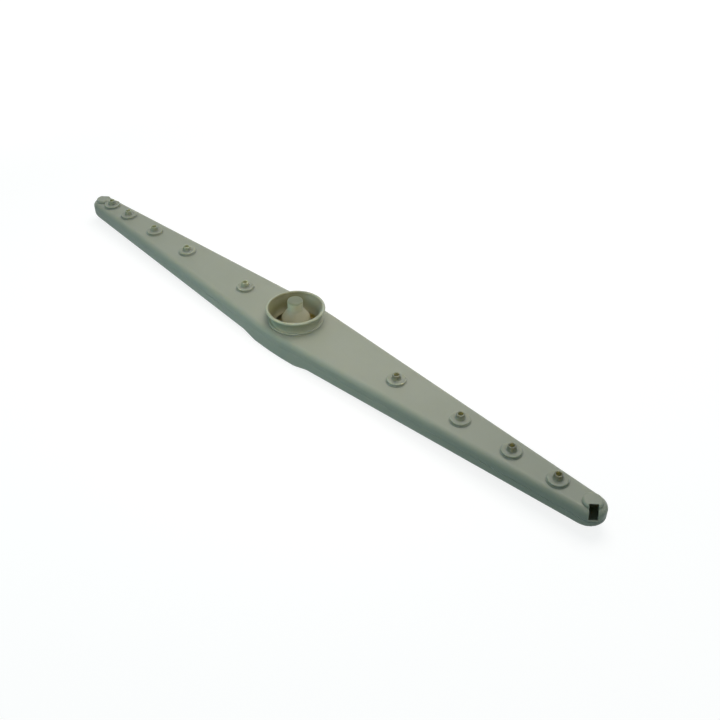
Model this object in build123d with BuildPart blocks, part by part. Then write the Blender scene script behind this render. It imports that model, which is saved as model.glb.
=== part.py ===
from build123d import *
from math import asin, atan2, cos, degrees, hypot, radians, sin
import os

# A dishwasher spray arm: a hollow welded arm with push-in jets that spins on a bottle-shaped spigot.
# The origin lies under the hub, X runs along the arm and Z points up. Sizes are in millimetres.

# The arm from above: a bowed hub, straight tapering sides and round noses
arm_length = 450.0
hub_width = 41.8
hub_bow_radius = 250.0
tip_width = 15.8

# The arm from the side: a level deck, an underside that rises to the tips and turns up there, and a hub pad
hub_thickness = 14.3
tip_thickness = 11.4
toe_length = 9.0
toe_rise = 2.2
pad_depth = 2.1
pad_length = 37.0
pad_ramp_length = 11.0
underside_blend_radius = 14.0
deck_edge_radius = 3.4
floor_edge_radius = 2.2

# The two mouldings and the tongue that locates one in the other
wall = 2.0
inside_edge_radius = 1.2
seam_drop = 6.2
seam_groove = 0.2
tongue_height = 1.8
tongue_thickness = 0.9
tongue_clearance = 0.1

# The cap on each nose and the slot that slants in under it, whose spray drives the arm round
cap_radius = 5.3
cap_height = 2.0
cap_edge_radius = 1.5
slot_angle = 50.0
slot_pitch = 40.0
slot_width = 4.8
slot_depth = 4.6
slot_setback = 3.3
slot_run_in = 4.0
slot_run_out = 6.0

# The flared inlet collar
collar_height = 9.3
collar_mouth_radius = 16.2
collar_rim_thickness = 2.3
collar_neck_radius = 13.9
collar_neck_wall = 1.7
collar_foot_width = 1.5
collar_foot_thickness = 0.8
collar_clearance = 0.1
collar_snap_reach = 0.5
collar_snap_height = 1.2

# The spigot, with its head under the floor and its neck above the cup
journal_radius = 8.9
shoulder_drop = 1.4
neck_radius = 4.75
neck_start_height = 9.5
shoulder_blend_radius = 4.0
spigot_height = 14.4
spigot_crown_radius = 0.9
head_radius = 13.0
head_thickness = 2.3
head_set_back = 0.4
core_radius = 6.0
core_depth = 17.0

# The bearing in the floor, the spigot's clearances there and the ring that keeps it in
bearing_length = 6.0
bearing_wall = 2.7
running_clearance = 0.1
head_clearance = 0.4
end_play = 0.3
ring_thickness = 1.0
ring_width = 2.3
ring_groove_depth = 0.8
ring_clearance = 0.1
ring_opening = 12.5

# The push-in jets, and each one's place as a share of the way to the last place beside a cap
jet_flange_radius = 5.7
jet_flange_thickness = 1.2
jet_flange_edge_radius = 0.5
jet_seat_height = 0.6
jet_seat_margin = 0.3
jet_spout_height = 3.0
jet_spout_base_radius = 2.8
jet_spout_tip_radius = 2.2
jet_bore_radius = 1.5
jet_inlet_radius = 2.4
jet_stem_radius = 3.6
jet_stem_clearance = 0.1
jet_barb_reach = 0.4
jet_barb_height = 1.6
jet_cap_gap = 0.6
jet_shares = {
    "left": (-0.24, -0.547, -0.734, -0.893, -1.0),
    "right": (0.416, 0.646, 0.8145, 0.9555),
}

# Places that follow from these sizes
half_length = arm_length / 2
tip_radius = tip_width / 2
nose_place = half_length - tip_radius
bow_setback = hub_bow_radius - hub_width / 2
nose_distance = hypot(nose_place, bow_setback)
side_slant = asin((hub_bow_radius - tip_radius) / nose_distance) - atan2(bow_setback, nose_place)
toe_start = half_length - toe_length
pad_half = pad_length / 2
ramp_end = pad_half + pad_ramp_length
deck_height = hub_thickness + pad_depth
deck_underside = deck_height - wall
seam_height = deck_height - seam_drop
recess_depth = head_set_back + head_thickness + end_play
recess_radius = head_radius + head_clearance
bore_radius = journal_radius + running_clearance
bearing_top = recess_depth + bearing_length
ring_height = bearing_top + end_play
groove_radius = journal_radius - ring_groove_depth
collar_outer_neck = collar_neck_radius + collar_neck_wall
collar_hole_radius = collar_outer_neck + collar_clearance
jet_hole_radius = jet_stem_radius + jet_stem_clearance
jet_reach = nose_place - cap_radius - jet_cap_gap - jet_flange_radius
all_jets = [(share * jet_reach, 0) for shares in jet_shares.values() for share in shares]


def underside(place, inset):
    """Point on the arm's tapering underside at a place along it, raised by the inset."""
    taper = (hub_thickness - tip_thickness) * abs(place) / half_length
    return (place, deck_height - hub_thickness + taper + inset)


def underside_line(inset, hub_points):
    """Points of the underside from end to end, with turned-up toes and the given points under the hub."""
    toe_end = deck_height - tip_thickness + toe_rise + inset
    return [
        (-half_length, toe_end),
        underside(-toe_start, inset),
        *hub_points,
        underside(toe_start, inset),
        (half_length, toe_end),
    ]


def arm_outline(inset, height):
    """Draws the arm from above at a height: a quarter of it, mirrored twice, set in all round."""
    bow = hub_bow_radius - inset
    nose = tip_radius - inset
    bow_end = (bow * sin(side_slant), bow * cos(side_slant) - bow_setback)
    nose_start = (nose_place + nose * sin(side_slant), nose * cos(side_slant))
    with BuildSketch(Plane.XY.offset(height)) as outline:
        with BuildLine():
            ThreePointArc(
                (0, bow - bow_setback),
                (bow * sin(side_slant / 2), bow * cos(side_slant / 2) - bow_setback),
                bow_end,
            )
            Line(bow_end, nose_start)
            CenterArc((nose_place, 0), nose, 0, 90 - degrees(side_slant))
            mirror(about=Plane.XZ)
            mirror(about=Plane.YZ)
        make_face()
    return outline.sketch


def closed_arm(inset, underside_points, top_radius, bottom_radius):
    """Makes the arm as a closed form, set in by a distance, between its deck and an underside line."""
    with BuildPart() as form:
        extrude(arm_outline(inset, 0), amount=deck_height - inset)
        with BuildSketch(Plane.XZ):
            with BuildLine():
                FilletPolyline(*underside_points, radius=underside_blend_radius)
                Polyline(
                    underside_points[-1],
                    (half_length, deck_height),
                    (-half_length, deck_height),
                    underside_points[0],
                )
            make_face()
        extrude(amount=hub_width, both=True, mode=Mode.INTERSECT)
        fillet(form.faces().sort_by(Axis.Z)[-1].edges(), top_radius)
        floor_faces = form.faces().filter_by(lambda face: face.normal_at().Z < -0.5)
        fillet(floor_faces.edges().filter_by(Axis.Y, reverse=True), bottom_radius)
    return form.part


pad_points = [underside(-ramp_end, 0), (-pad_half, 0), (pad_half, 0), underside(ramp_end, 0)]
outer_form = closed_arm(0, underside_line(0, pad_points), deck_edge_radius, floor_edge_radius)
inner_points = underside_line(wall, [underside(0, wall)])
inner_form = closed_arm(wall, inner_points, inside_edge_radius, inside_edge_radius)

# The cap on a nose: a low round boss with a rounded edge
with BuildPart() as cap:
    with BuildSketch(Plane.XY.offset(deck_underside)):
        with Locations((nose_place, 0)):
            Circle(cap_radius)
    extrude(amount=wall + cap_height)
    fillet(cap.faces().sort_by(Axis.Z)[-1].edges(), cap_edge_radius)

# The space that is cut for a slot: a slanting run on an upright plane whose X leads out of the nose
slot_way = Vector(cos(radians(slot_angle)), -sin(radians(slot_angle)), 0)
slot_plane = Plane(origin=(nose_place, 0, deck_height), x_dir=slot_way, z_dir=slot_way.cross(Vector(0, 0, 1)))
slot_rise = Vector(cos(radians(slot_pitch)), sin(radians(slot_pitch)))
slot_roof = Vector(slot_setback, cap_height)
slot_sill = Vector(tip_radius, -slot_depth)
with BuildPart() as slot_space:
    with BuildSketch(slot_plane):
        with BuildLine():
            Polyline(
                slot_roof - slot_rise * slot_run_in,
                slot_roof + slot_rise * slot_run_out,
                slot_sill + slot_rise * slot_run_out,
                slot_sill - slot_rise * slot_run_in,
                close=True,
            )
        make_face()
    extrude(amount=slot_width / 2, both=True)

# The upper moulding: the deck and upper walls, with the jet seats, the inlet hole and the capped slots
with BuildPart() as upper_shell:
    add(outer_form)
    add(inner_form, mode=Mode.SUBTRACT)
    split(bisect_by=Plane.XY.offset(seam_height), keep=Keep.TOP)
    chamfer(upper_shell.faces().sort_by(Axis.Z)[0].outer_wire().edges(), seam_groove)
    rebate = arm_outline(wall - tongue_thickness - tongue_clearance, seam_height)
    extrude(rebate, amount=tongue_height + tongue_clearance, mode=Mode.SUBTRACT)
    with BuildSketch(Plane.XY.offset(deck_underside)):
        with Locations(*all_jets):
            Circle(jet_flange_radius + jet_seat_margin)
    extrude(amount=wall + jet_seat_height)
    for half_turn in (0, 180):
        add(cap.part, rotation=(0, 0, half_turn))
    with BuildSketch(Plane.XY.offset(deck_underside)):
        with Locations((-nose_place, 0), (nose_place, 0)):
            Circle(cap_radius - wall)
    extrude(amount=cap_height, mode=Mode.SUBTRACT)
    for half_turn in (0, 180):
        add(slot_space.part, rotation=(0, 0, half_turn), mode=Mode.SUBTRACT)
    with BuildSketch(Plane.XY.offset(deck_underside)):
        with Locations(*all_jets):
            Circle(jet_hole_radius)
        Circle(collar_hole_radius)
    extrude(amount=wall + jet_seat_height, mode=Mode.SUBTRACT)

# The lower moulding: floor and lower walls, a tongue that stops at the slots, the bearing and the head's recess
with BuildPart() as lower_shell:
    add(outer_form)
    add(inner_form, mode=Mode.SUBTRACT)
    split(bisect_by=Plane.XY.offset(seam_height), keep=Keep.BOTTOM)
    chamfer(lower_shell.faces().sort_by(Axis.Z)[-1].outer_wire().edges(), seam_groove)
    extrude(arm_outline(wall - tongue_thickness, seam_height), amount=tongue_height)
    extrude(arm_outline(wall, seam_height), amount=tongue_height, mode=Mode.SUBTRACT)
    for half_turn in (0, 180):
        add(slot_space.part, rotation=(0, 0, half_turn), mode=Mode.SUBTRACT)
    with BuildSketch(Plane.XY.offset(head_set_back)):
        Circle(recess_radius + wall)
    extrude(amount=recess_depth + wall - head_set_back)
    with BuildSketch(Plane.XY.offset(recess_depth)):
        Circle(bore_radius + bearing_wall)
    extrude(amount=bearing_length)
    with BuildSketch(Plane.XY):
        Circle(recess_radius)
    extrude(amount=recess_depth, mode=Mode.SUBTRACT)
    with BuildSketch(Plane.XY):
        Circle(bore_radius)
    extrude(amount=bearing_top, mode=Mode.SUBTRACT)

# The inlet collar: a neck that snaps into the deck, a foot that sits on it and a mouth that flares
rim_radius = collar_rim_thickness / 2
rim_height = deck_height + collar_height
flare_height = rim_height - rim_radius
foot_top = deck_height + collar_foot_thickness
snap_top = deck_underside - collar_clearance
snap_bottom = snap_top - collar_snap_height
collar_mouth_outer = collar_mouth_radius + collar_rim_thickness
with BuildPart() as inlet_collar:
    with BuildSketch(Plane.XZ):
        with BuildLine():
            TangentArc((collar_neck_radius, foot_top), (collar_mouth_radius, flare_height), tangent=(0, 1))
            ThreePointArc(
                (collar_mouth_radius, flare_height),
                (collar_mouth_radius + rim_radius, rim_height),
                (collar_mouth_outer, flare_height),
            )
            TangentArc((collar_outer_neck, foot_top), (collar_mouth_outer, flare_height), tangent=(0, 1))
            Polyline(
                (collar_outer_neck, foot_top),
                (collar_outer_neck + collar_foot_width, foot_top),
                (collar_outer_neck + collar_foot_width, deck_height),
                (collar_outer_neck, deck_height),
                (collar_outer_neck, snap_top),
                (collar_outer_neck + collar_snap_reach, snap_top),
                (collar_outer_neck, snap_bottom),
                (collar_neck_radius, snap_bottom),
                (collar_neck_radius, foot_top),
            )
        make_face()
    revolve(axis=Axis.Z)

# The spigot: a head, a journal with a ring groove, a conical shoulder and a neck, cored from below
shoulder = deck_height - shoulder_drop
neck_start = deck_height + neck_start_height
crown = deck_height + spigot_height
groove_top = ring_height + ring_thickness + ring_clearance
with BuildPart() as pivot_hub:
    with BuildSketch(Plane.XZ):
        with BuildLine():
            FilletPolyline(
                (journal_radius, groove_top),
                (journal_radius, shoulder),
                (neck_radius, neck_start),
                (neck_radius, crown),
                radius=shoulder_blend_radius,
            )
            Polyline(
                (journal_radius, groove_top),
                (groove_radius, groove_top),
                (groove_radius, ring_height),
                (journal_radius, ring_height),
                (journal_radius, recess_depth - end_play),
                (head_radius, recess_depth - end_play),
                (head_radius, head_set_back),
                (core_radius, head_set_back),
                (core_radius, head_set_back + core_depth),
                (0, head_set_back + core_depth),
                (0, crown),
                (neck_radius, crown),
            )
        make_face()
    revolve(axis=Axis.Z)
    fillet(pivot_hub.faces().sort_by(Axis.Z)[-1].edges(), spigot_crown_radius)

# The ring that keeps the spigot in: an open ring, pushed into the groove from the side
with BuildPart() as retaining_ring:
    with BuildSketch(Plane.XY.offset(ring_height)):
        Circle(groove_radius + ring_clearance + ring_width)
        Circle(groove_radius + ring_clearance, mode=Mode.SUBTRACT)
        with Locations((0, -journal_radius)):
            Rectangle(ring_opening, 2 * journal_radius, mode=Mode.SUBTRACT)
    extrude(amount=ring_thickness)

pieces = {
    "upper_shell": upper_shell,
    "lower_shell": lower_shell,
    "inlet_collar": inlet_collar,
    "pivot_hub": pivot_hub,
    "retaining_ring": retaining_ring,
}

# The jets: a flange on its seat, a tapering spout above it and a barbed stem through the deck
seat_top = jet_seat_height
flange_top = seat_top + jet_flange_thickness
spout_top = flange_top + jet_spout_height
barb_top = -wall
stem_bottom = barb_top - jet_barb_height
for side, shares in jet_shares.items():
    for number, share in enumerate(shares, start=1):
        place = share * jet_reach
        jet_plane = Plane(origin=(place, 0, deck_height), x_dir=(1, 0, 0), z_dir=(0, -1, 0))
        with BuildPart() as jet:
            with BuildSketch(jet_plane):
                with BuildLine():
                    Polyline(
                        (jet_bore_radius, spout_top),
                        (jet_spout_tip_radius, spout_top),
                        (jet_spout_base_radius, flange_top),
                        (jet_flange_radius, flange_top),
                        (jet_flange_radius, seat_top),
                        (jet_stem_radius, seat_top),
                        (jet_stem_radius, barb_top),
                        (jet_stem_radius + jet_barb_reach, barb_top),
                        (jet_stem_radius, stem_bottom),
                        (jet_inlet_radius, stem_bottom),
                        (jet_bore_radius, flange_top),
                        close=True,
                    )
                make_face()
            revolve(axis=Axis((place, 0, 0), (0, 0, 1)))
            flange_edge = jet.edges().filter_by(GeomType.CIRCLE).group_by(lambda edge: edge.radius)[-1]
            fillet(flange_edge.sort_by(Axis.Z)[-1], jet_flange_edge_radius)
        pieces[f"jet_{side}_{number}"] = jet

os.makedirs("parts", exist_ok=True)
for name, piece in pieces.items():
    piece.part.label = name
    export_step(piece.part, f"parts/{name}.step")
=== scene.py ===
"""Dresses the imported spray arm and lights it.

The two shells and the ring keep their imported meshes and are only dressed. The jets, the flared cup and the
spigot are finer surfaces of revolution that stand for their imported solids. Sizes are in metres, in the
part's frame.
"""

import logging
import math
from dataclasses import dataclass, field
from enum import Enum
from typing import Any, Sequence

import bpy
import numpy as np
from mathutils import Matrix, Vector


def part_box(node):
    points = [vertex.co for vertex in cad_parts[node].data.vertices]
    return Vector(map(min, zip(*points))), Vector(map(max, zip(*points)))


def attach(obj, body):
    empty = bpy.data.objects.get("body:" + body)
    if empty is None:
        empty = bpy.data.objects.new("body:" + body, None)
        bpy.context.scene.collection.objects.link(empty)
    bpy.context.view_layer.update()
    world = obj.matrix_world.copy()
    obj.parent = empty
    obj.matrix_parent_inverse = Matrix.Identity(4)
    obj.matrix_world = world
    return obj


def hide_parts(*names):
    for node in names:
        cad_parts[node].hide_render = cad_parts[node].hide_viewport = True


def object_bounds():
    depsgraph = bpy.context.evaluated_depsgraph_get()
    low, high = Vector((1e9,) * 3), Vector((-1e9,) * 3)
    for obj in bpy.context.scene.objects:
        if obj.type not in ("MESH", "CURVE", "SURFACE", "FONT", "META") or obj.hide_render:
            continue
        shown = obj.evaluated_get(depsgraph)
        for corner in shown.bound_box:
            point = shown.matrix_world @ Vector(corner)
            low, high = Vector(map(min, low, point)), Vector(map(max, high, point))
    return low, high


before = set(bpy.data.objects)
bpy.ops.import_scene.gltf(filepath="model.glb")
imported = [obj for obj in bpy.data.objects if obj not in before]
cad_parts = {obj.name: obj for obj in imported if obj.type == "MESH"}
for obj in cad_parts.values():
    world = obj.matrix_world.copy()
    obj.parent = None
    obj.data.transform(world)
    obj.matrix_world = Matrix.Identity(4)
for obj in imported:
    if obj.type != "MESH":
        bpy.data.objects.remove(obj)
CAD_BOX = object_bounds()

LOG = logging.getLogger("spray_arm")
MM = 0.001
WHITE = (1.0, 1.0, 1.0, 1.0)
LEVEL = (1.0, 1.0, 0.0)
# A Mix node's colour sockets by number, because its sockets of other types have the same names.
MIX_LOW = 6
MIX_HIGH = 7
MIX_RESULT = 2
Colour = tuple[float, float, float]
Place = tuple[float, float, float]
Span = tuple[float, float]
Socket = bpy.types.NodeSocket


class Body(Enum):
    """The bodies that pieces ride on."""

    ARM = "arm"
    PIVOT = "pivot"


class Slot(Enum):
    """Names of material slots for new pieces; nothing in the script uses them."""

    COLLAR = "collar"
    JET = "jet"
    SPIGOT = "spigot"


class SocketKind(Enum):
    """Socket types of the shader node groups."""

    VALUE = "NodeSocketFloat"
    COLOUR = "NodeSocketColor"
    VECTOR = "NodeSocketVector"


# The group sockets that aren't plain values.
SOCKET_KINDS = {
    "Vector": SocketKind.VECTOR,
    "Normal": SocketKind.VECTOR,
    "Spared": SocketKind.VECTOR,
    "Colour": SocketKind.COLOUR,
    "Film": SocketKind.COLOUR,
    "Rub": SocketKind.COLOUR,
    "Tint": SocketKind.COLOUR,
}


class Tree:
    """A shader node tree that is drawn by short calls."""

    def __init__(self, tree: bpy.types.NodeTree) -> None:
        """Takes over a tree and empties it.

        Args:
            tree: The node tree of a material, a world or a group.
        """
        self.tree = tree
        tree.nodes.clear()

    def add(self, kind: str, inputs: dict[Any, Any] | None = None, **settings: Any) -> bpy.types.Node:
        """Adds a node and feeds its inputs.

        Args:
            kind: Blender's name of the node type.
            inputs: Socket names or numbers, each with a constant or the output socket that feeds it.
            settings: Properties of the node itself.

        Returns:
            The new node.
        """
        node = self.tree.nodes.new(kind)
        for name, value in settings.items():
            setattr(node, name, value)
        for name, value in (inputs or {}).items():
            self.feed(node.inputs[name], value)
        return node

    def feed(self, socket: Socket, value: Any) -> None:
        """Feeds an input socket.

        Args:
            socket: The input socket.
            value: A constant, or the output socket of another node.
        """
        if isinstance(value, Socket):
            self.tree.links.new(value, socket)
        else:
            socket.default_value = value

    def group(self, group: bpy.types.NodeTree, inputs: dict[str, Any]) -> Any:
        """Places a node group, feeds its inputs and gives its output sockets by name."""
        return self.add("ShaderNodeGroup", inputs, node_tree=group).outputs

    def coordinate(self, name: str) -> Socket:
        """Gives the socket of one of Blender's texture coordinates."""
        return self.add("ShaderNodeTexCoord").outputs[name]

    def upward(self, vector: Socket) -> Socket:
        """Gives the upward part of a vector."""
        return self.add("ShaderNodeSeparateXYZ", {0: vector}).outputs["Z"]

    def math(self, operation: str, *values: Any, clamp: bool = False) -> Socket:
        """Adds a Math node.

        Args:
            operation: The sum that it does.
            values: Its operands, constants or sockets.
            clamp: Whether the result is kept between 0 and 1.

        Returns:
            The result's socket.
        """
        operands = dict(enumerate(values))
        return self.add("ShaderNodeMath", operands, operation=operation, use_clamp=clamp).outputs[0]

    def product(self, first: Socket, *others: Socket) -> Socket:
        """Multiplies masks.

        Args:
            first: The first mask.
            others: The masks that it is multiplied by.

        Returns:
            The product's socket.
        """
        for other in others:
            first = self.math("MULTIPLY", first, other)
        return first

    def vector(self, operation: str, *values: Any) -> bpy.types.Node:
        """Adds a Vector Math node, whose first output is a vector and whose second one is a value."""
        return self.add("ShaderNodeVectorMath", dict(enumerate(values)), operation=operation)

    def dot(self, one: Any, other: Any) -> Socket:
        """Gives the dot product of two vectors."""
        return self.vector("DOT_PRODUCT", one, other).outputs["Value"]

    def noise(self, place: Socket, size: Any, detail: float, **inputs: float) -> Socket:
        """Adds a noise texture.

        Args:
            place: The place on the piece.
            size: The size of the noise's largest patches.
            detail: How many finer layers it has.
            inputs: Its other inputs by name.

        Returns:
            The noise's socket.
        """
        scale = self.math("DIVIDE", 1.0, size)
        given = {"Vector": place, "Scale": scale, "Detail": detail, **inputs}
        return self.add("ShaderNodeTexNoise", given).outputs["Fac"]

    def mix(self, mask: Any, low: Any, high: Any) -> Socket:
        """Mixes two colours.

        Args:
            mask: The share of the second colour.
            low: The first colour.
            high: The second colour.

        Returns:
            The mixed colour's socket.
        """
        given = {0: mask, MIX_LOW: low, MIX_HIGH: high}
        return self.add("ShaderNodeMix", given, data_type="RGBA").outputs[MIX_RESULT]

    def ramp(self, value: Any, start: Any, end: Any) -> Socket:
        """Rises smoothly from 0 to 1 while a value goes from start to end."""
        limits = {0: value, 1: start, 2: end}
        return self.add("ShaderNodeMapRange", limits, interpolation_type="SMOOTHSTEP").outputs[0]


def group_tree(name: str, inputs: Sequence[str], outputs: Sequence[str]) -> tuple[Tree, Any, Any]:
    """Starts a shader node group with named sockets.

    Args:
        name: The group's name.
        inputs: Names of its input sockets.
        outputs: Names of its output sockets.

    Returns:
        The tree, the inputs' sockets by name, and the results' sockets by name.
    """
    group = bpy.data.node_groups.new(name, "ShaderNodeTree")
    for way, sockets in (("INPUT", inputs), ("OUTPUT", outputs)):
        for socket in sockets:
            kind = SOCKET_KINDS.get(socket, SocketKind.VALUE)
            group.interface.new_socket(name=socket, in_out=way, socket_type=kind.value)
    tree = Tree(group)
    return tree, tree.add("NodeGroupInput").outputs, tree.add("NodeGroupOutput").inputs


@dataclass
class Effects:
    """The surface effects that the finishes share, each a node group that is built once."""

    fine_detail: float = 3.0
    broad_detail: float = 4.0
    noise_middle: float = 0.5
    cloud_detail: float = 5.0
    cloud_roughness: float = 0.6
    cloud_distortion: float = 0.4
    cloud_range: Span = (0.38, 0.72)
    film_everywhere: float = 0.4
    rub_samples: int = 6
    rub_range: Span = (0.99, 0.85)
    outward_range: Span = (0.15, -0.15)
    reach_range: Span = (1.05, 0.95)
    underside_range: Span = (-0.8, -0.3)
    spared_range: Span = (0.95, 0.05)
    grain: bpy.types.NodeTree = field(init=False)
    film: bpy.types.NodeTree = field(init=False)
    edges: bpy.types.NodeTree = field(init=False)
    tint: bpy.types.NodeTree = field(init=False)

    def __post_init__(self) -> None:
        """Builds the groups."""
        self.grain = self.build_grain()
        self.film = self.build_film()
        self.edges = self.build_edges()
        self.tint = self.build_light_and_shade_tint()

    def build_grain(self) -> bpy.types.NodeTree:
        """Builds the fine spark-eroded grain of a moulding.

        It puts out the grain's height, and a shift of the roughness in broad patches.

        Returns:
            The group.
        """
        tree, given, result = group_tree(
            "moulded_grain", ("Vector", "Size", "Patch", "Gloss"), ("Height", "Shift"))
        fine = tree.noise(given["Vector"], given["Size"], self.fine_detail)
        broad = tree.noise(given["Vector"], given["Patch"], self.broad_detail)
        shift = tree.math("SUBTRACT", broad, self.noise_middle)
        tree.feed(result["Height"], fine)
        tree.feed(result["Shift"], tree.math("MULTIPLY", shift, given["Gloss"]))
        return tree.tree

    def build_film(self) -> bpy.types.NodeTree:
        """Builds the thin mineral film that dried wash water leaves.

        It lies in cloudy patches, most of it on faces that look up.

        Returns:
            The group.
        """
        tree, given, result = group_tree(
            "wash_film", ("Vector", "Colour", "Film", "Patch", "Amount"), ("Colour", "Mask"))
        cloud = tree.noise(
            given["Vector"], given["Patch"], self.cloud_detail,
            Roughness=self.cloud_roughness, Distortion=self.cloud_distortion)
        up = tree.math("MAXIMUM", tree.upward(tree.coordinate("Normal")), 0.0)
        lie = tree.math("MULTIPLY_ADD", up, 1.0 - self.film_everywhere, self.film_everywhere)
        cloudy = tree.product(tree.ramp(cloud, *self.cloud_range), lie)
        mask = tree.math("MULTIPLY", cloudy, given["Amount"], clamp=True)
        tree.feed(result["Colour"], tree.mix(mask, given["Colour"], given["Film"]))
        tree.feed(result["Mask"], mask)
        return tree.tree

    def build_edges(self) -> bpy.types.NodeTree:
        """Builds the pale rub along edges, where a rounded normal leans away from the face's own.

        Returns:
            The group.
        """
        tree, given, result = group_tree(
            "rubbed_edges", ("Colour", "Rub", "Radius", "Amount"), ("Colour", "Normal"))
        bevel = {"Radius": given["Radius"]}
        soft = tree.add("ShaderNodeBevel", bevel, samples=self.rub_samples).outputs[0]
        flat = tree.add("ShaderNodeNewGeometry").outputs["Normal"]
        leaning = tree.ramp(tree.dot(soft, flat), *self.rub_range)
        mask = tree.math("MULTIPLY", leaning, given["Amount"], clamp=True)
        tree.feed(result["Colour"], tree.mix(mask, given["Colour"], given["Rub"]))
        tree.feed(result["Normal"], soft)
        return tree.tree

    def build_light_and_shade_tint(self) -> bpy.types.NodeTree:
        """Builds painted light or shade: a lighter or darker tint of part of a moulding, on faces that don't
        look down.

        It is full at a low height, none at a high one, and none further from the hub axis than its
        reach. The low height may be the greater one, and the tint then lies on the upper part. Faces that
        look away from the axis by more than a limit, the cosine of the angle, stay free of it. So does the
        side of the axis that a spared direction points to.

        Returns:
            The group.
        """
        tree, given, result = group_tree(
            "light_and_shade_tint", ("Vector", "Colour", "Tint", "Low", "High", "Outward", "Reach", "Spared"),
            ("Colour",))
        normal = tree.coordinate("Normal")
        level = tree.vector("MULTIPLY", given["Vector"], LEVEL).outputs["Vector"]
        away = tree.vector("NORMALIZE", level).outputs["Vector"]
        radius = tree.vector("LENGTH", level).outputs["Value"]
        look = tree.math("SUBTRACT", tree.dot(away, normal), given["Outward"])
        mask = tree.product(
            tree.ramp(tree.upward(given["Vector"]), given["High"], given["Low"]),
            tree.ramp(tree.math("DIVIDE", radius, given["Reach"]), *self.reach_range),
            tree.ramp(look, *self.outward_range),
            tree.ramp(tree.upward(normal), *self.underside_range),
            tree.ramp(tree.dot(away, given["Spared"]), *self.spared_range))
        tree.feed(result["Colour"], tree.mix(mask, given["Colour"], given["Tint"]))
        return tree.tree


def blank_material(name: str) -> tuple[bpy.types.Material, Tree]:
    """Makes a material whose node tree is empty.

    Args:
        name: The material's name.

    Returns:
        The material and its tree.
    """
    material = bpy.data.materials.new(name)
    material.use_nodes = True
    return material, Tree(material.node_tree)


@dataclass(frozen=True)
class LightAndShadeTint:
    """Painted light or shade: where part of a moulding is tinted lighter or darker, and how. By default no
    side is left out.
    """

    tint: Colour
    low: float
    high: float
    outward: float = 2.0
    reach: float = 1.0
    spared: tuple[float, float, float] = (0.0, 0.0, 0.0)

    def lay(self, tree: Tree, effects: Effects, place: Socket, colour: Any) -> Socket:
        """Lays the painted light or shade over a colour.

        Args:
            tree: The material's tree.
            effects: The shared node groups.
            place: The place on the piece.
            colour: The colour under the tint, a constant or a socket.

        Returns:
            The tinted colour's socket.
        """
        tinted = tree.group(effects.tint, {
            "Vector": place, "Colour": colour, "Tint": (*self.tint, 1.0), "Low": self.low,
            "High": self.high, "Outward": self.outward, "Reach": self.reach, "Spared": self.spared})
        return tinted["Colour"]


@dataclass(frozen=True)
class MouldedFinish:
    """A satin moulded plastic with grain, a wash film and rubbed edges."""

    name: str
    colour: Colour
    film: Colour
    rub: Colour
    roughness: float = 0.46
    gloss_spread: float = 0.22
    grain: float = 0.35 * MM
    patch: float = 45.0 * MM
    film_amount: float = 0.5
    film_roughness: float = 0.12
    rub_radius: float = 0.7 * MM
    rub_amount: float = 0.35
    ior: float = 1.48
    specular: float = 0.35
    bump: float = 0.12
    bump_depth: float = 0.02 * MM
    glow: float = 0.6
    glow_depth: float = 5.0 * MM
    glow_colour: Colour = (1.0, 0.9, 0.55)
    tints: tuple[LightAndShadeTint, ...] = ()

    def material(self, effects: Effects) -> bpy.types.Material:
        """Makes the finish's material.

        Args:
            effects: The shared node groups.

        Returns:
            The material.
        """
        material, tree = blank_material(self.name)
        place = tree.coordinate("Object")
        colour: Any = (*self.colour, 1.0)
        for tint in self.tints:
            colour = tint.lay(tree, effects, place, colour)
        film = tree.group(effects.film, {
            "Vector": place, "Colour": colour, "Film": (*self.film, 1.0), "Patch": self.patch,
            "Amount": self.film_amount})
        edges = tree.group(effects.edges, {
            "Colour": film["Colour"], "Rub": (*self.rub, 1.0), "Radius": self.rub_radius,
            "Amount": self.rub_amount})
        grain = tree.group(effects.grain, {
            "Vector": place, "Size": self.grain, "Patch": self.patch, "Gloss": self.gloss_spread})
        rough = tree.math("ADD", grain["Shift"], self.roughness)
        rough = tree.math("MULTIPLY_ADD", film["Mask"], self.film_roughness, rough, clamp=True)
        bump = tree.add("ShaderNodeBump", {
            "Strength": self.bump, "Distance": self.bump_depth, "Height": grain["Height"],
            "Normal": edges["Normal"]})
        shader = tree.add("ShaderNodeBsdfPrincipled", {
            "Base Color": edges["Colour"], "Roughness": rough, "Normal": bump.outputs["Normal"],
            "IOR": self.ior, "Specular IOR Level": self.specular, "Subsurface Weight": self.glow,
            "Subsurface Radius": self.glow_colour, "Subsurface Scale": self.glow_depth})
        tree.add("ShaderNodeOutputMaterial", {"Surface": shader.outputs[0]})
        return material


@dataclass(frozen=True)
class SpringSteel:
    """Plain rolled steel, dulled in fine marks."""

    name: str
    colour: Colour
    roughness: float = 0.62
    gloss_spread: float = 0.2
    mark: float = 0.4 * MM
    patch: float = 6.0 * MM
    dull_share: float = 0.45

    def material(self, effects: Effects) -> bpy.types.Material:
        """Makes the finish's material.

        Args:
            effects: The shared node groups.

        Returns:
            The material.
        """
        material, tree = blank_material(self.name)
        grain = tree.group(effects.grain, {
            "Vector": tree.coordinate("Object"), "Size": self.mark, "Patch": self.patch,
            "Gloss": self.gloss_spread})
        dull = tuple(self.dull_share * channel for channel in self.colour)
        shader = tree.add("ShaderNodeBsdfPrincipled", {
            "Base Color": tree.mix(grain["Height"], (*dull, 1.0), (*self.colour, 1.0)),
            "Roughness": tree.math("ADD", grain["Shift"], self.roughness), "Metallic": 1.0})
        tree.add("ShaderNodeOutputMaterial", {"Surface": shader.outputs[0]})
        return material


@dataclass(frozen=True)
class Outline:
    """An outline in the half plane of radius and height, with its outward normals."""

    points: np.ndarray
    normals: np.ndarray
    closed: bool


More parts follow.
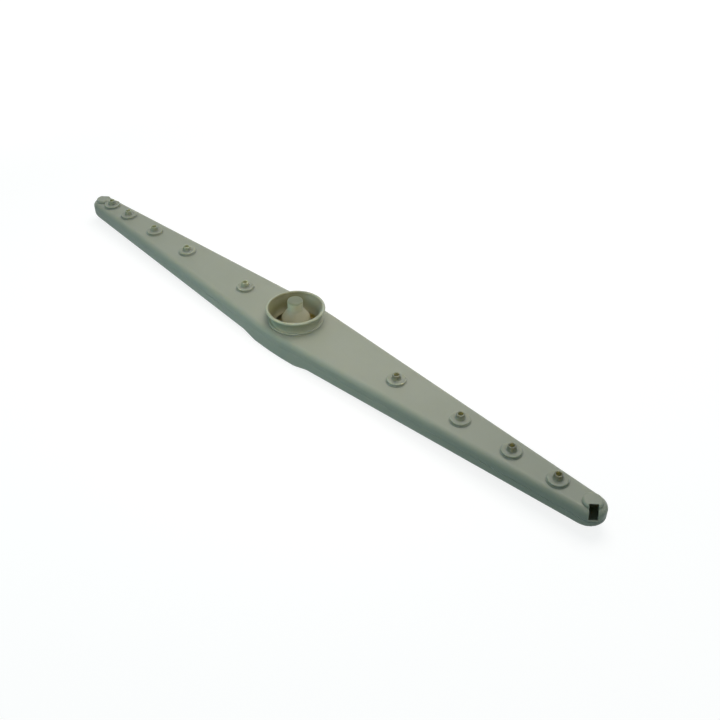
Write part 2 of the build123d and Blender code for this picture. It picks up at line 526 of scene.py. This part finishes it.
def rounded_outline(corners: np.ndarray, steps: int, closed: bool) -> Outline:
    """Rounds the corners of an outline that runs anticlockwise in radius and height.

    A corner turns by an angle. Its arc starts at its rounding * tan(half the turn) before the corner, and
    the way along it turns evenly. The arc's centre lies one rounding to the inner side of its start, and a
    point on the arc is the centre less the turned way's left normal times the signed rounding. The outward
    normal is the way's right normal.

    Args:
        corners: Radius, height and rounding of each corner, shape (n, 3).
        steps: Points on each arc.
        closed: Whether the outline closes. If not, its two ends lie on the axis and stay sharp.

    Returns:
        The rounded outline.
    """
    places, rounding = corners[:, :2], corners[:, 2]
    before = places - np.roll(places, 1, axis=0)
    after = np.roll(places, -1, axis=0) - places
    before = before / np.linalg.norm(before, axis=1, keepdims=True)
    after = after / np.linalg.norm(after, axis=1, keepdims=True)
    cross = before[:, 0] * after[:, 1] - before[:, 1] * after[:, 0]
    turn = np.arctan2(cross, (before * after).sum(axis=1))
    start = places - before * (rounding * np.tan(np.abs(turn) / 2))[:, None]
    signed = np.sign(turn) * rounding
    angle = turn[:, None] * np.linspace(0.0, 1.0, steps)[None, :]
    way = np.stack([
        before[:, :1] * np.cos(angle) - before[:, 1:] * np.sin(angle),
        before[:, :1] * np.sin(angle) + before[:, 1:] * np.cos(angle),
    ], axis=-1)
    left = np.stack([-way[..., 1], way[..., 0]], axis=-1)
    centre = start + left[:, 0] * signed[:, None]
    points = centre[:, None] - left * signed[:, None, None]
    if closed:
        return Outline(points.reshape(-1, 2), -left.reshape(-1, 2), True)
    ends = places[[0, -1]]
    flat = np.array([[0.0, -1.0], [0.0, 1.0]]) * np.sign([after[0, 0], -before[-1, 0]])[:, None]
    points = np.vstack([ends[:1], points[1:-1].reshape(-1, 2), ends[1:]])
    normals = np.vstack([flat[:1], -left[1:-1].reshape(-1, 2), flat[1:]])
    return Outline(points, normals, False)


def flare(foot: Span, lip: Span) -> tuple[float, float, float]:
    """Finds the corner that an arc rounds when it leaves its foot straight up and ends at its lip.

    The arc's centre lies level with the foot, at the distance where foot and lip are equally far from it:
    the square of the distance between them over twice the step in radius. Its two tangents meet above the
    foot, at the arc's radius times the tangent of half the sweep.

    Args:
        foot: Radius and height of the foot.
        lip: Radius and height of the lip.

    Returns:
        Radius, height and rounding of the corner.
    """
    out, up = lip[0] - foot[0], lip[1] - foot[1]
    rounding = (out * out + up * up) / (2 * out)
    sweep = math.atan2(up, rounding - out)
    return foot[0], foot[1] + rounding * math.tan(sweep / 2), rounding


def linked(name: str, data: bpy.types.ID) -> bpy.types.Object:
    """Makes an object at the origin and links it to the scene.

    Args:
        name: The object's name.
        data: Its mesh, lamp or camera.

    Returns:
        The object.
    """
    thing = bpy.data.objects.new(name, data)
    bpy.context.scene.collection.objects.link(thing)
    return thing


def revolved(name: str, outline: Outline, place: float, turns: int) -> bpy.types.Object:
    """Turns an outline round an upright axis.

    The surface has two parameters, the place along the outline and the angle: x is radius times cosine, y
    is radius times sine, and z is the height. An open outline has one vertex on the axis at each end.

    Args:
        name: The piece's name.
        outline: The outline.
        place: The axis's place along the arm.
        turns: Steps round the axis.

    Returns:
        The new object.
    """
    angle = np.linspace(0.0, 2 * math.pi, turns, endpoint=False)
    rows = slice(None) if outline.closed else slice(1, -1)

    def spun(pairs: np.ndarray) -> np.ndarray:
        """Spins pairs of radius and height into points, row by row."""
        radius, height = pairs[rows, 0, None], pairs[rows, 1, None]
        return np.stack(np.broadcast_arrays(
            radius * np.cos(angle), radius * np.sin(angle), height), axis=-1).reshape(-1, 3)

    points, normals = spun(outline.points), spun(outline.normals)
    count = len(points) // turns
    first = np.arange(count if outline.closed else count - 1)[:, None] * turns
    second = np.roll(np.arange(count) * turns, -1)[: len(first), None]
    now, then = np.arange(turns)[None, :], np.roll(np.arange(turns), -1)[None, :]
    quads = np.stack([first + now, first + then, second + then, second + now], axis=-1)
    faces = quads.reshape(-1, 4).tolist()
    if not outline.closed:
        ends = [0, -1]
        poles = np.pad(outline.points[ends, 1:], ((0, 0), (2, 0)))
        lean = np.pad(outline.normals[ends, 1:], ((0, 0), (2, 0)))
        last = (count - 1) * turns
        low = np.stack([np.full(turns, len(points)), then[0], now[0]], axis=1)
        high = np.stack([last + now[0], last + then[0], np.full(turns, len(points) + 1)], axis=1)
        faces += low.tolist() + high.tolist()
        points, normals = np.vstack([points, poles]), np.vstack([normals, lean])
    points = points + np.array([place, 0.0, 0.0])
    mesh = bpy.data.meshes.new(name)
    mesh.from_pydata(points.tolist(), [], faces)
    mesh.polygons.foreach_set("use_smooth", np.ones(len(mesh.polygons), bool))
    mesh.normals_split_custom_set_from_vertices(normals.tolist())
    mesh.update()
    return linked(name, mesh)


def seat(piece: bpy.types.Object, node: str, body: Body, material: bpy.types.Material) -> None:
    """Dresses a new piece, lets it stand for its node and lets it ride on its body.

    Args:
        piece: The new piece.
        node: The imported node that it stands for.
        body: The body that carries it.
        material: Its material.
    """
    piece.data.materials.append(material)
    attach(piece, body.value)
    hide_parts(node)
    LOG.info("%s stands for %s and rides on %s", piece.name, node, body.value)


def dress(node: str, material: bpy.types.Material) -> None:
    """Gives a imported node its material.

    Args:
        node: The node's name.
        material: Its material.
    """
    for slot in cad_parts[node].material_slots:
        slot.material = material
    LOG.info("%s is dressed in %s", node, material.name)


@dataclass(frozen=True)
class Shells:
    """The upper and lower mouldings of the arm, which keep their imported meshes."""

    nodes: tuple[str, ...] = ("upper_shell", "lower_shell")

    def dress(self, material: bpy.types.Material) -> None:
        """Dresses both mouldings."""
        for node in self.nodes:
            dress(node, material)


@dataclass(frozen=True)
class Jets:
    """The push-in jets: a rounded flange, a tapering spout with a soft lip, and a barbed stem.

    Heights are above the deck.
    """

    prefix: str = "jet_"
    deck: float = 16.4 * MM
    seat_top: float = 0.6 * MM
    flange_top: float = 1.8 * MM
    flange_radius: float = 5.7 * MM
    spout_top: float = 4.8 * MM
    spout_base: float = 2.8 * MM
    spout_tip: float = 2.2 * MM
    bore: float = 1.5 * MM
    inlet: float = 2.4 * MM
    stem: float = 3.6 * MM
    barb: float = 4.0 * MM
    barb_top: float = -2.0 * MM
    stem_bottom: float = -3.6 * MM
    throat_edge: float = 0.30 * MM
    stem_edge: float = 0.15 * MM
    barb_edge: float = 0.06 * MM
    seat_edge: float = 0.10 * MM
    flange_under: float = 0.12 * MM
    flange_edge: float = 0.50 * MM
    spout_foot: float = 0.55 * MM
    lip: float = 0.30 * MM
    steps: int = 7
    turns: int = 72

    def outline(self) -> Outline:
        """Draws a jet's outline down the bore, up the stem and the flange, and over the spout.

        Returns:
            The outline.
        """
        corners = np.array([
            (self.bore, self.flange_top, self.throat_edge),
            (self.inlet, self.stem_bottom, self.stem_edge),
            (self.stem, self.stem_bottom, self.stem_edge),
            (self.barb, self.barb_top, self.barb_edge),
            (self.stem, self.barb_top, self.barb_edge),
            (self.stem, self.seat_top, self.seat_edge),
            (self.flange_radius, self.seat_top, self.flange_under),
            (self.flange_radius, self.flange_top, self.flange_edge),
            (self.spout_base, self.flange_top, self.spout_foot),
            (self.spout_tip, self.spout_top, self.lip),
            (self.bore, self.spout_top, self.lip),
        ])
        corners[:, 1] += self.deck
        return rounded_outline(corners, self.steps, closed=True)

    def build(self, material: bpy.types.Material) -> None:
        """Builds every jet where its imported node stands.

        Args:
            material: The jets' material.
        """
        outline = self.outline()
        for node in sorted(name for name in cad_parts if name.startswith(self.prefix)):
            low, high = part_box(node)
            piece = revolved(f"{node}_fine", outline, (low.x + high.x) / 2, self.turns)
            seat(piece, node, Body.ARM, material)


@dataclass(frozen=True)
class InletCup:
    """The flared collar round the inlet, with a rolled rim and a foot on the deck."""

    node: str = "inlet_collar"
    neck: float = 13.9 * MM
    neck_outer: float = 15.6 * MM
    mouth: float = 16.2 * MM
    mouth_outer: float = 18.5 * MM
    foot_radius: float = 17.1 * MM
    deck: float = 16.4 * MM
    foot_top: float = 17.2 * MM
    rim_top: float = 25.7 * MM
    snap_radius: float = 16.1 * MM
    snap_top: float = 14.3 * MM
    snap_bottom: float = 13.1 * MM
    foot_fillet: float = 0.28 * MM
    foot_edge: float = 0.30 * MM
    soft: float = 0.05 * MM
    arc_share: float = 0.98
    steps: int = 14
    turns: int = 144

    def outline(self) -> Outline:
        """Draws the collar's outline up the outer flare, over the rim, down the inside and round the snap.

        The arcs of the flares and the rim take most of the run between their corners, so that no two arcs
        meet.

        Returns:
            The outline.
        """
        roll = (self.mouth_outer - self.mouth) / 2
        lip = self.rim_top - roll
        foot = self.foot_top + self.foot_fillet
        corners = np.array([
            (self.neck_outer, self.foot_top, self.foot_fillet),
            flare((self.neck_outer, foot), (self.mouth_outer, lip)),
            (self.mouth_outer, lip, self.soft),
            (self.mouth_outer, self.rim_top, roll),
            (self.mouth, self.rim_top, roll),
            (self.mouth, lip, self.soft),
            flare((self.neck, foot), (self.mouth, lip)),
            (self.neck, self.snap_bottom, self.soft),
            (self.neck_outer, self.snap_bottom, self.soft),
            (self.snap_radius, self.snap_top, self.soft),
            (self.neck_outer, self.snap_top, self.soft),
            (self.neck_outer, self.deck, self.soft),
            (self.foot_radius, self.deck, self.soft),
            (self.foot_radius, self.foot_top, self.foot_edge),
        ])
        corners[:, 2] *= self.arc_share
        return rounded_outline(corners, self.steps, closed=True)

    def build(self, material: bpy.types.Material) -> None:
        """Builds the collar."""
        piece = revolved("inlet_collar_fine", self.outline(), 0.0, self.turns)
        seat(piece, self.node, Body.ARM, material)


@dataclass(frozen=True)
class Spigot:
    """The spigot, with a bottle's shoulder, a groove for its steel ring, a head under the floor and a core.

    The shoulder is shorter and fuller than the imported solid's cone.
    """

    node: str = "pivot_hub"
    ring_node: str = "retaining_ring"
    journal: float = 8.9 * MM
    groove: float = 8.1 * MM
    groove_low: float = 9.3 * MM
    groove_high: float = 10.4 * MM
    head: float = 13.0 * MM
    head_low: float = 0.4 * MM
    head_high: float = 2.7 * MM
    core: float = 6.0 * MM
    core_top: float = 17.4 * MM
    shoulder: float = 18.4 * MM
    neck: float = 4.75 * MM
    neck_low: float = 24.3 * MM
    crown: float = 30.8 * MM
    core_fillet: float = 0.5 * MM
    core_mouth: float = 0.3 * MM
    head_edge: float = 0.3 * MM
    head_back: float = 0.2 * MM
    soft: float = 0.08 * MM
    blend: float = 3.0 * MM
    crown_edge: float = 0.9 * MM
    steps: int = 9
    turns: int = 128

    def outline(self) -> Outline:
        """Draws the spigot's outline down the core, round the head, up the journal and over the crown.

        Returns:
            The outline.
        """
        corners = np.array([
            (0.0, self.core_top, 0.0),
            (self.core, self.core_top, self.core_fillet),
            (self.core, self.head_low, self.core_mouth),
            (self.head, self.head_low, self.head_edge),
            (self.head, self.head_high, self.head_back),
            (self.journal, self.head_high, self.soft),
            (self.journal, self.groove_low, self.soft),
            (self.groove, self.groove_low, self.soft),
            (self.groove, self.groove_high, self.soft),
            (self.journal, self.groove_high, self.soft),
            (self.journal, self.shoulder, self.blend),
            (self.neck, self.neck_low, self.blend),
            (self.neck, self.crown, self.crown_edge),
            (0.0, self.crown, 0.0),
        ])
        return rounded_outline(corners, self.steps, closed=False)

    def build(self, plastic: bpy.types.Material, steel: bpy.types.Material) -> None:
        """Builds the spigot and dresses its ring.

        Args:
            plastic: The spigot's material.
            steel: The ring's material.
        """
        piece = revolved("pivot_hub_fine", self.outline(), 0.0, self.turns)
        seat(piece, self.node, Body.PIVOT, plastic)
        dress(self.ring_node, steel)


def aim(thing: bpy.types.Object, place: Place, target: Place) -> None:
    """Stands a lamp or a camera at a place and turns it towards a target.

    Args:
        thing: The lamp or the camera.
        place: Where it stands.
        target: What it looks at.
    """
    thing.location = place
    way = Vector(target) - Vector(place)
    thing.rotation_euler = way.to_track_quat("-Z", "Y").to_euler()


@dataclass(frozen=True)
class SoftLamp:
    """A square area lamp that looks at a point."""

    name: str
    place: Place
    target: Place
    side: float
    watts: float
    colour: Colour
    spread: float = 180.0

    def hang(self) -> None:
        """Adds the lamp to the scene."""
        lamp = bpy.data.lights.new(self.name, "AREA")
        lamp.shape = "SQUARE"
        lamp.size = self.side
        lamp.energy = self.watts
        lamp.spread = math.radians(self.spread)
        lamp.color = self.colour
        aim(linked(self.name, lamp), self.place, self.target)


@dataclass(frozen=True)
class Studio:
    """The pale floor, the soft light and the camera, whose lens and sensor are in millimetres."""

    eye: Place = (0.34651, -0.29262, 0.34363)
    target: Place = (0.03961, 0.0168, -0.00364)
    lens: float = 44.617
    sensor: float = 36.0
    clip_start: float = 10.0 * MM
    floor_half: float = 4.0
    floor_steps: int = 9
    floor_gap: float = 0.2 * MM
    floor_bounce: Colour = (0.18, 0.27, 0.27)
    floor_face: Colour = (0.95, 0.95, 0.95)
    floor_glow: float = 1.12
    shadow_share: float = 0.25
    shadow_start: float = 0.30
    shadow_end: float = 0.65
    sky: Colour = (0.20, 0.285, 0.29)
    lamps: tuple[SoftLamp, ...] = (
        SoftLamp(
            "key", place=(-0.05, 0.25, 0.75), target=(-0.01, 0.0, 0.0), side=0.55, watts=3.6,
            colour=(1.0, 0.92, 0.89)),
        SoftLamp(
            "fill", place=(-0.25, -0.55, 0.15), target=(0.0, 0.0, 0.01), side=0.25, watts=0.10,
            colour=(0.55, 0.97, 1.05), spread=60.0),
        SoftLamp(
            "front", place=(0.32, -0.18, 0.48), target=(0.0, 0.0, 0.02), side=0.12, watts=0.045,
            colour=(1.0, 0.90, 0.78), spread=36.0),
    )

    @staticmethod
    def seen(tree: Tree) -> Socket:
        """Tells the rays that the eye sees by from those that only carry light.

        Args:
            tree: The tree of the floor or the sky.

        Returns:
            A socket of 1 for rays from the camera and for mirrored or refracted ones, and 0 for the rest.
        """
        ray = tree.add("ShaderNodeLightPath").outputs
        mirrored = tree.math("MAXIMUM", ray["Is Glossy Ray"], ray["Is Transmission Ray"])
        return tree.math("MAXIMUM", ray["Is Camera Ray"], mirrored)

    def lay_floor(self) -> None:
        """Lays the floor, a flat grid of two parameters just under the part."""
        count = self.floor_steps
        line = np.linspace(-self.floor_half, self.floor_half, count)
        across, along = np.meshgrid(line, line)
        height = np.full_like(across, CAD_BOX[0][2] - self.floor_gap)
        points = np.stack([across, along, height], axis=-1).reshape(-1, 3)
        corner = (np.arange(count - 1)[:, None] * count + np.arange(count - 1)).ravel()
        faces = np.stack([corner, corner + 1, corner + 1 + count, corner + count], axis=1)
        mesh = bpy.data.meshes.new("floor")
        mesh.from_pydata(points.tolist(), [], faces.tolist())
        mesh.materials.append(self.floor_material())
        linked("floor", mesh)

    def floor_material(self) -> bpy.types.Material:
        """Makes the floor's material.

        It is white to the eye, keeps part of the shadow near the part, and is clear from below.

        Returns:
            The material.
        """
        material, tree = blank_material("pale_floor")
        seen = self.seen(tree)
        tone = tree.mix(seen, (*self.floor_bounce, 1.0), (*self.floor_face, 1.0))
        matt = tree.add("ShaderNodeBsdfDiffuse", {"Color": tone})
        white = tree.add("ShaderNodeEmission", {"Color": WHITE, "Strength": self.floor_glow})
        away = tree.vector("LENGTH", tree.coordinate("Object")).outputs["Value"]
        near = tree.ramp(away, self.shadow_end, self.shadow_start)
        shadow = tree.math("MULTIPLY", near, self.shadow_share)
        share = tree.math("MULTIPLY", seen, tree.math("SUBTRACT", 1.0, shadow))
        above = tree.add("ShaderNodeMixShader", {0: share, 1: matt.outputs[0], 2: white.outputs[0]})
        back = tree.add("ShaderNodeNewGeometry").outputs["Backfacing"]
        clear = tree.add("ShaderNodeBsdfTransparent")
        shown = tree.add("ShaderNodeMixShader", {0: back, 1: above.outputs[0], 2: clear.outputs[0]})
        tree.add("ShaderNodeOutputMaterial", {"Surface": shown.outputs[0]})
        return material

    def light(self) -> None:
        """Sets the sky, which is white to the eye, and hangs the lamps."""
        world = bpy.data.worlds.new("studio")
        world.use_nodes = True
        bpy.context.scene.world = world
        tree = Tree(world.node_tree)
        dim = tree.add("ShaderNodeBackground", {"Color": (*self.sky, 1.0)})
        white = tree.add("ShaderNodeBackground", {"Color": WHITE})
        shares = {0: self.seen(tree), 1: dim.outputs[0], 2: white.outputs[0]}
        sky = tree.add("ShaderNodeMixShader", shares)
        tree.add("ShaderNodeOutputWorld", {"Surface": sky.outputs[0]})
        for lamp in self.lamps:
            lamp.hang()

    def place_camera(self) -> None:
        """Places the camera where the photograph was taken from."""
        lens = bpy.data.cameras.new("camera")
        lens.lens = self.lens
        lens.sensor_width = self.sensor
        lens.clip_start = self.clip_start
        camera = linked("camera", lens)
        aim(camera, self.eye, self.target)
        bpy.context.scene.camera = camera

    def build(self) -> None:
        """Sets the whole studio up."""
        self.lay_floor()
        self.light()
        self.place_camera()
        bpy.context.scene.view_settings.view_transform = "Standard"


# Painted light: the inside of the arm near the hub is painted pale, which lightens the shade that shows at
# the bottom of the cup.
ARM_FINISH = MouldedFinish(
    "arm_plastic", colour=(0.295, 0.31, 0.248), film=(0.325, 0.335, 0.28), rub=(0.35, 0.365, 0.305),
    tints=(LightAndShadeTint((0.62, 0.56, 0.33), low=13.6 * MM, high=14.6 * MM, outward=0.22, reach=46.0 * MM),))

# Painted shade: the spouts are painted dark, except on the half towards -X.
JET_FINISH = MouldedFinish(
    "jet_plastic", colour=(0.275, 0.288, 0.225), film=(0.31, 0.325, 0.265), rub=(0.31, 0.32, 0.255),
    grain=0.2 * MM, rub_amount=0.15, glow=0.95, glow_depth=6.0 * MM,
    tints=(LightAndShadeTint((0.115, 0.117, 0.098), low=20.6 * MM, high=18.2 * MM, spared=(-0.9, 0.0, 0.0)),))

# Painted shade: the inside of the cup below the rim is painted dark olive, except on the side towards +X and
# +Y.
CUP_FINISH = MouldedFinish(
    "cup_plastic", colour=(0.32, 0.335, 0.262), film=(0.35, 0.365, 0.30), rub=(0.36, 0.375, 0.31),
    rub_amount=0.12, glow=0.8, tints=(
        LightAndShadeTint(
            (0.17, 0.165, 0.085), low=25.5 * MM, high=25.8 * MM, outward=-0.08,
            spared=(0.36, 0.62, 0.0)),
        # Painted light: low on the cup, inside and outside, the plastic is painted pale, which lightens the
        # shade there.
        LightAndShadeTint((0.56, 0.54, 0.38), low=13.0 * MM, high=20.5 * MM)))

# Painted light and shade: the crown is painted dark, the neck pale and the shoulder between them, so that
# the shaded sides come out as bright as the lit top.
SPIGOT_FINISH = MouldedFinish(
    "spigot_plastic", colour=(0.168, 0.188, 0.128), film=(0.19, 0.208, 0.148), rub=(0.24, 0.255, 0.185),
    glow=0.9, glow_depth=6.0 * MM, tints=(
        LightAndShadeTint((0.60, 0.585, 0.45), low=29.0 * MM, high=30.9 * MM),
        LightAndShadeTint((0.41, 0.39, 0.285), low=22.5 * MM, high=26.5 * MM)))

RING_FINISH = SpringSteel("ring_steel", colour=(0.56, 0.57, 0.58))


def main() -> None:
    """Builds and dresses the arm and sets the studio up."""
    logging.basicConfig(level=logging.INFO, format="%(message)s")
    effects = Effects()
    Shells().dress(ARM_FINISH.material(effects))
    Jets().build(JET_FINISH.material(effects))
    InletCup().build(CUP_FINISH.material(effects))
    Spigot().build(SPIGOT_FINISH.material(effects), RING_FINISH.material(effects))
    Studio().build()
    bpy.context.view_layer.update()


if __name__ == "__main__":
    main()
